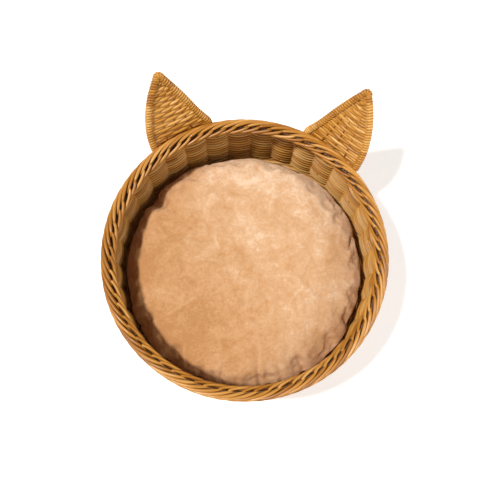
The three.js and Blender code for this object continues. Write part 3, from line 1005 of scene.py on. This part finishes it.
def simulate(piece):
    """Blows the cover up with pressure, so that it wrinkles as a stuffed cover does."""
    rest = mesh_points(piece)
    modifier = piece.modifiers.new("blown", "CLOTH")
    modifier.settings.quality = 5
    modifier.settings.mass = 0.25
    modifier.settings.use_pressure = True
    modifier.settings.uniform_pressure_force = 4.0
    modifier.settings.tension_stiffness = 12
    modifier.settings.compression_stiffness = 12
    modifier.settings.bending_stiffness = 0.4
    modifier.settings.shrink_min = -0.05
    modifier.settings.effector_weights.gravity = 0.0
    modifier.collision_settings.use_collision = False
    modifier.point_cache.frame_start = 1
    modifier.point_cache.frame_end = CLOTH_FRAMES
    for step in range(1, CLOTH_FRAMES + 1):
        bpy.context.scene.frame_set(step)
    apply_modifier(piece, modifier)
    bpy.context.scene.frame_set(1)
    moved = mesh_points(piece) - rest
    length = np.linalg.norm(moved, axis=1, keepdims=True)
    set_mesh_points(piece, rest + moved * np.minimum(1, CLOTH_REACH / np.maximum(length, 1e-9)))


def fit_cushion(piece):
    """Brings the blown cover back to the CAD cushion's width and height."""
    centre, radius, foot, top = cushion_box()
    points = mesh_points(piece)
    low, high = points.min(axis=0), points.max(axis=0)
    wanted = np.array([2 * radius, 2 * radius - CUSHION_SLACK, top - foot])
    middle = np.array([centre.x, centre.y - CUSHION_SLACK, (foot + top) / 2])
    set_mesh_points(piece, (points - (low + high) / 2) * wanted / (high - low) + middle)


def creases(flat):
    """Short ridges with a valley beside each, in the top of the cover: their heights, and a mark for painted
    light on each ridge and painted shade in each valley.
    """
    height = np.zeros(len(flat))
    nap = np.zeros(len(flat))
    for _crease in range(CREASES):
        place_x, place_y = RANDOM.uniform(-0.85, 0.85, 2)
        turn = RANDOM.uniform(0, math.pi)
        length = RANDOM.uniform(0.05, 0.17)
        width = RANDOM.uniform(0.010, 0.020)
        bend = RANDOM.uniform(-2.0, 2.0)
        along = (flat[:, 0] - place_x) * math.cos(turn) + (flat[:, 1] - place_y) * math.sin(turn)
        across = (flat[:, 1] - place_y) * math.cos(turn) - (flat[:, 0] - place_x) * math.sin(turn)
        across -= bend * along ** 2
        fade = np.exp(-(along / length) ** 4)
        ridge = np.exp(-(across / width) ** 2) * fade
        valley = np.exp(-((across + 1.7 * width) / width) ** 2) * fade
        strength = RANDOM.uniform(0.3, 1.0)
        height += CREASE_DEPTH * strength * (ridge - valley)
        # Painted light on the ridge and painted shade in the valley beside it.
        nap += strength * (ridge - 0.6 * valley)
    return height, nap


def edge_folds(reach, angle):
    """Depths of the grooves at the cover's edge, and heights of the soft rolls beside them."""
    groove = np.zeros(len(reach))
    roll = np.zeros(len(reach))
    for bearing, depth, width, length in EDGE_FOLDS:
        off = np.degrees(np.angle(np.exp(1j * (angle - math.radians(bearing)))))
        fade = np.clip((reach - (1 - length)) / length, 0, 1) ** 0.7
        groove += depth * MM * np.exp(-(off / width) ** 2) * fade
        roll += 0.3 * depth * MM * np.exp(-((off - 2.0 * width) / width) ** 2) * fade
    return groove, roll


def cushion_folds(piece):
    """The hollows, folds and creases that a stuffed cover keeps. A number on each point marks painted light
    on the crease ridges and painted shade in their valleys.
    """
    centre, radius, foot, top = cushion_box()
    points = mesh_points(piece)
    flat = (points[:, :2] - [centre.x, centre.y]) / radius
    reach = np.hypot(flat[:, 0], flat[:, 1])
    angle = np.arctan2(flat[:, 1], flat[:, 0])
    upper = np.clip((points[:, 2] - centre.z) / (top - centre.z) + 0.35, 0, 1)
    change, nap = creases(flat)
    for scale, depth, seed in COVER_WAVES:
        change += depth * MM * np.array([noise.noise(Vector((x * scale, y * scale, seed))) for x, y in flat])
    groove, roll = edge_folds(reach, angle)
    points[:, 2] += (change + roll - groove) * upper
    inward = np.clip((reach - 0.75) / 0.2, 0, 1)[:, None]
    outward = flat / np.maximum(reach, 1e-6)[:, None]
    points[:, :2] -= outward * (groove * upper)[:, None] * inward * 0.9
    points[:, 2] = np.maximum(points[:, 2], foot)
    set_mesh_points(piece, points)
    mark = piece.data.attributes.new("nap", "FLOAT", "POINT")
    mark.data.foreach_set("value", nap.astype(np.float32))


def cushion():
    """The loose cushion: one stuffed cover that stands for the CAD's cover halves and filling."""
    piece = cushion_form()
    remesh(piece, CUSHION_VOXEL)
    simulate(piece)
    fit_cushion(piece)
    modifier = piece.modifiers.new("finer", "SUBSURF")
    modifier.levels = 1
    apply_modifier(piece, modifier)
    cushion_folds(piece)
    piece.data.polygons.foreach_set("use_smooth", np.ones(len(piece.data.polygons), bool))
    piece.data.materials.append(PLUSH)
    place(piece, LOOSE, "plush", *CUSHION_NODES)


# ---- Stage ----

def camera():
    """The camera: in front and almost overhead, with a little roll."""
    tilt, turn, roll = (math.radians(value) for value in (CAMERA_TILT, CAMERA_TURN, CAMERA_ROLL))
    back = Vector((math.sin(tilt) * math.sin(turn), -math.sin(tilt) * math.cos(turn), math.cos(tilt)))
    right = Vector((math.cos(turn), math.sin(turn), 0.0))
    right = (right - back * right.dot(back)).normalized()
    up = back.cross(right)
    rolled_right = right * math.cos(roll) + up * math.sin(roll)
    rolled_up = up * math.cos(roll) - right * math.sin(roll)
    data = bpy.data.cameras.new("camera")
    data.lens = CAMERA_LENS
    data.sensor_width = 36.0
    made = bpy.data.objects.new("camera", data)
    bpy.context.scene.collection.objects.link(made)
    place_at = Vector((CAMERA_AIM.x, CAMERA_AIM.y, BORDER_Z)) + back * CAMERA_DISTANCE
    turned = Matrix((rolled_right, rolled_up, back)).transposed().to_4x4()
    made.matrix_world = Matrix.Translation(place_at) @ turned
    bpy.context.scene.camera = made


def lamp(name, kind, position, energy):
    """A light that points at the middle of the basket."""
    data = bpy.data.lights.new(name, kind)
    data.energy = energy
    data.color = LAMP_WHITE
    made = bpy.data.objects.new(name, data)
    bpy.context.scene.collection.objects.link(made)
    made.location = position
    target = Vector((0.0, 0.0, BORDER_Z))
    made.rotation_euler = (target - Vector(position)).to_track_quat("-Z", "Y").to_euler()
    return data


def floor():
    """The pale floor that the basket stands on."""
    mesh = bpy.data.meshes.new("floor")
    corners = [(x * FLOOR_HALF, y * FLOOR_HALF, 0) for x, y in ((-1, -1), (1, -1), (1, 1), (-1, 1))]
    mesh.from_pydata(corners, [], [(0, 1, 2, 3)])
    mesh.materials.append(floor_paint())
    made = bpy.data.objects.new("floor", mesh)
    made.location.z = FLOOR_Z
    bpy.context.scene.collection.objects.link(made)


def lights():
    """A soft sun from the left, a softer fill from the right and a warm grey world."""
    world = bpy.data.worlds.new("studio")
    world.use_nodes = True
    background = world.node_tree.nodes["Background"]
    background.inputs["Color"].default_value = WORLD_COLOR
    background.inputs["Strength"].default_value = WORLD_STRENGTH
    bpy.context.scene.world = world
    lamp("key", "SUN", KEY_FROM, KEY_STRENGTH).angle = KEY_SOFTNESS
    lamp("fill", "AREA", FILL_FROM, FILL_POWER).size = FILL_SIZE
    bpy.context.scene.view_settings.view_transform = "Standard"
    bpy.context.scene.view_settings.look = "None"
    bpy.context.scene.view_settings.exposure = 0.0


# ---- The build ----

camera()
floor()
lights()
wall_weaver()
upsett_wale()
stake_pairs()
border_outer()
border_inner()
border_core()
ears()
base_spokes()
base_weaver()
cushion()
